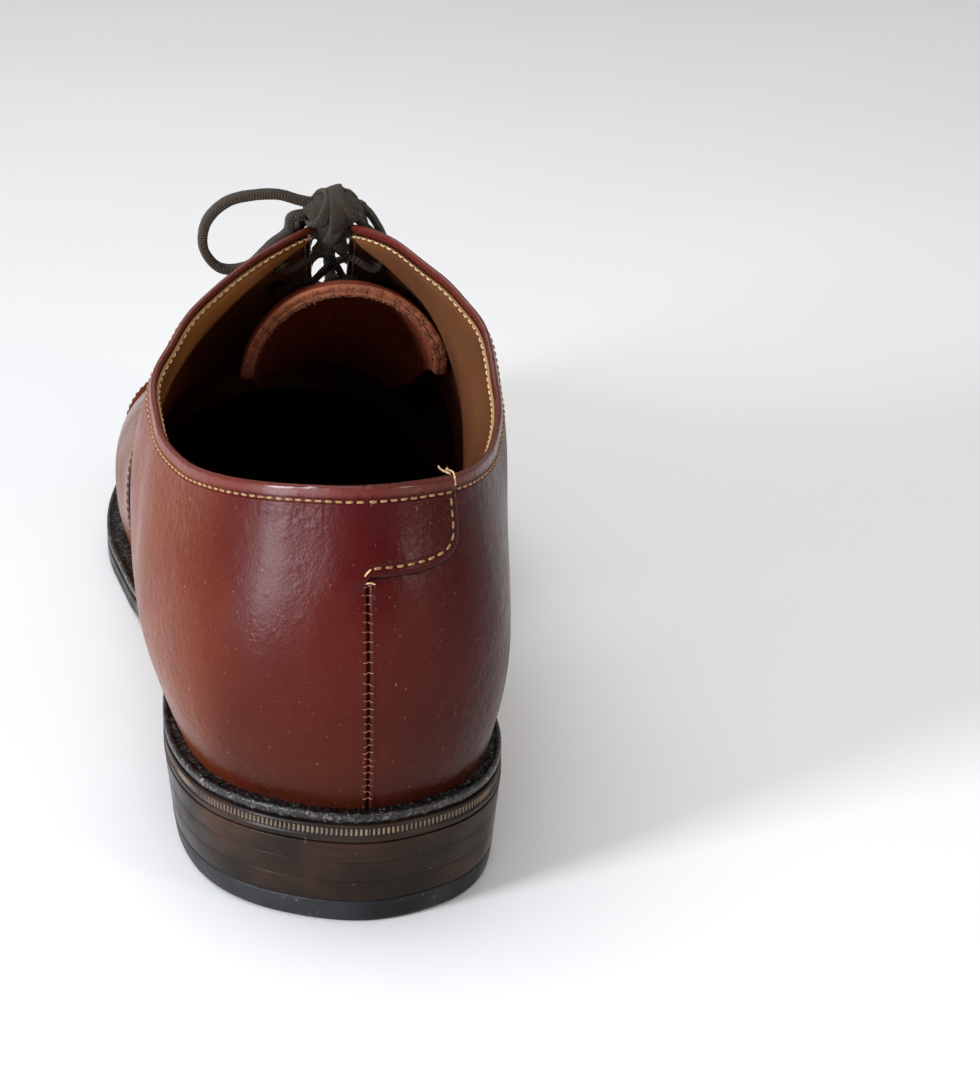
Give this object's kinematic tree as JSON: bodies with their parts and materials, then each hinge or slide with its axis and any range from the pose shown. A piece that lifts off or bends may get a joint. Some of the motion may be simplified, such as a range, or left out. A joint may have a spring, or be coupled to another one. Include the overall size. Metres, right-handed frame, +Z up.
{
  "type": "leather oxford shoe",
  "caption": "Left low-cut dress shoe with closed lacing over a tongue, lapped back seam, welted leather sole and a stacked heel with a rubber top piece.",
  "frame": {"origin": "middle of the shoe's footprint box, on the floor", "axes": "+Y from heel to toe, +X to the inner (medial) side, +Z up"},
  "size_m": [0.1016, 0.3012, 0.1233],
  "materials": {
    "burnished_leather": "smooth burnished calf, waxed",
    "lining_leather": "plain tan lining leather, matt",
    "tongue_leather": "soft leather with a raw edge, matt",
    "dark_sole_leather": "stacked leather, edge inked dark and waxed",
    "outsole_leather": "veg-tanned sole leather, edge inked dark",
    "insole_leather": "raw veg-tanned leather",
    "top_piece_rubber": "dense slate-grey rubber, matt",
    "steel": "plain steel",
    "blackened_brass": "blackened",
    "cork": "ground cork and glue",
    "stiffener_fibre": "stiffened fibre",
    "waxed_lace": "woven waxed cotton",
    "aglet_plastic": "shrunk plastic film"
  },
  "bodies": {
    "shoe": {"aglet_lateral": "aglet_plastic", "aglet_medial": "aglet_plastic", "cork_filler": "cork", "eyelet_lateral_1": "blackened_brass", "eyelet_lateral_2": "blackened_brass", "eyelet_lateral_3": "blackened_brass", "eyelet_lateral_4": "blackened_brass", "eyelet_lateral_5": "blackened_brass", "eyelet_medial_1": "blackened_brass", "eyelet_medial_2": "blackened_brass", "eyelet_medial_3": "blackened_brass", "eyelet_medial_4": "blackened_brass", "eyelet_medial_5": "blackened_brass", "heel_counter": "stiffener_fibre", "heel_lift_1": "dark_sole_leather", "heel_lift_2": "dark_sole_leather", "heel_lift_3": "dark_sole_leather", "heel_nail_1": "steel", "heel_nail_2": "steel", "heel_nail_3": "steel", "heel_nail_4": "steel", "heel_nail_5": "steel", "heel_rand": "dark_sole_leather", "insole": "insole_leather", "lace_end_lateral": "waxed_lace", "lace_end_medial": "waxed_lace", "lace_knot": "waxed_lace", "lace_lacing": "waxed_lace", "lace_loop_lateral": "waxed_lace", "lace_loop_medial": "waxed_lace", "outsole": "outsole_leather", "quarter_lateral": "burnished_leather", "quarter_lining_lateral": "lining_leather", "quarter_lining_medial": "lining_leather", "quarter_medial": "burnished_leather", "shank": "steel", "sock_liner": "lining_leather", "toe_cap": "burnished_leather", "toe_puff": "stiffener_fibre", "top_piece": "top_piece_rubber", "vamp": "burnished_leather", "vamp_lining": "lining_leather", "welt": "dark_sole_leather"},
    "tongue": {"tongue": "tongue_leather", "tongue_lining": "lining_leather"}
  },
  "joints": [
    {"name": "tongue_fold", "type": "hinge", "parent": "shoe", "child": "tongue", "pos_m": [0.006, 0.042, 0.0625], "axis": [1, 0, 0], "range_deg": [0, 12]}
  ]
}
